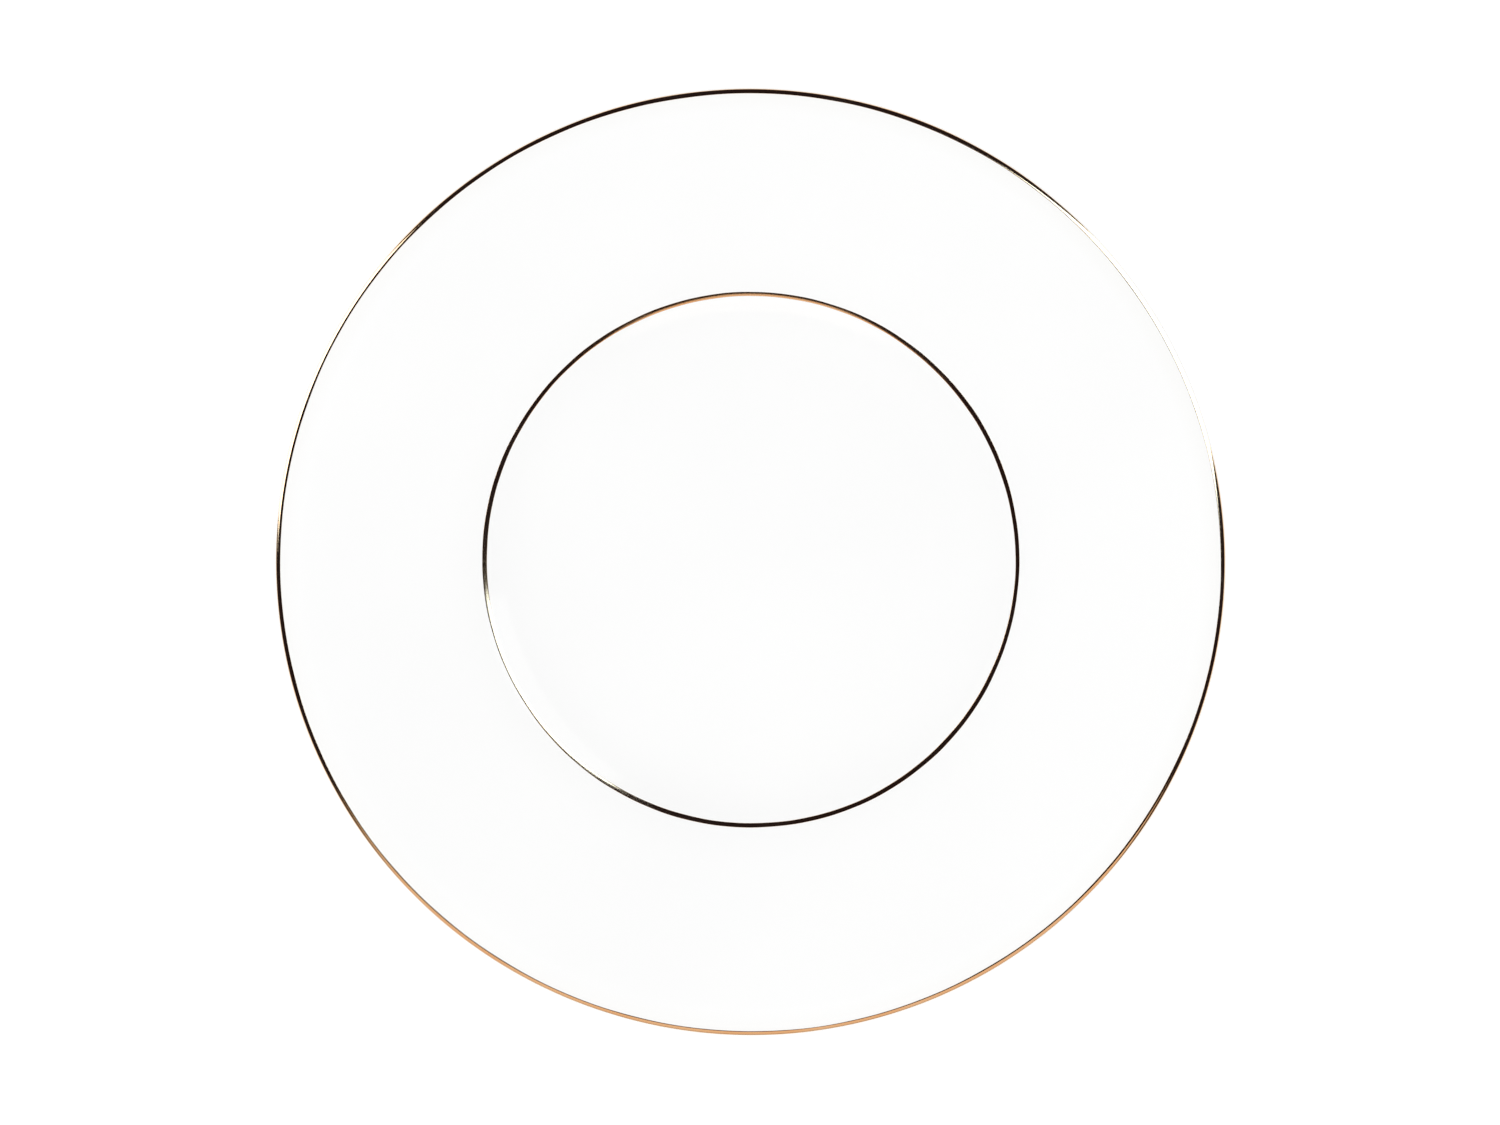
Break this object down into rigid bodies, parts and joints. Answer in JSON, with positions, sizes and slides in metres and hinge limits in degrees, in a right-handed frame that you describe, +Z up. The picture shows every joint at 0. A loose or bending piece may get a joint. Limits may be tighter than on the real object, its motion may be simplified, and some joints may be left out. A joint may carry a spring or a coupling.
{
  "type": "dinner plate",
  "caption": "White bone-china dinner plate with a flat well, soft shoulder, wide flange, gold band along the lip, gold line at the verge and a glazed foot ring.",
  "frame": {"origin": "centre of the plane that the foot ring stands on", "axes": "+Z up out of the dish, along the plate's axis of symmetry; +X and +Y are any two square directions across it"},
  "size_m": [0.27, 0.27, 0.023],
  "materials": {
    "china": "matte",
    "glaze": "gloss",
    "gold": "polished"
  },
  "bodies": {
    "root": {"china_body": "china", "main_glaze": "glaze", "base_glaze": "glaze", "rim_gold_band": "gold", "verge_gold_line": "gold"}
  },
  "joints": []
}
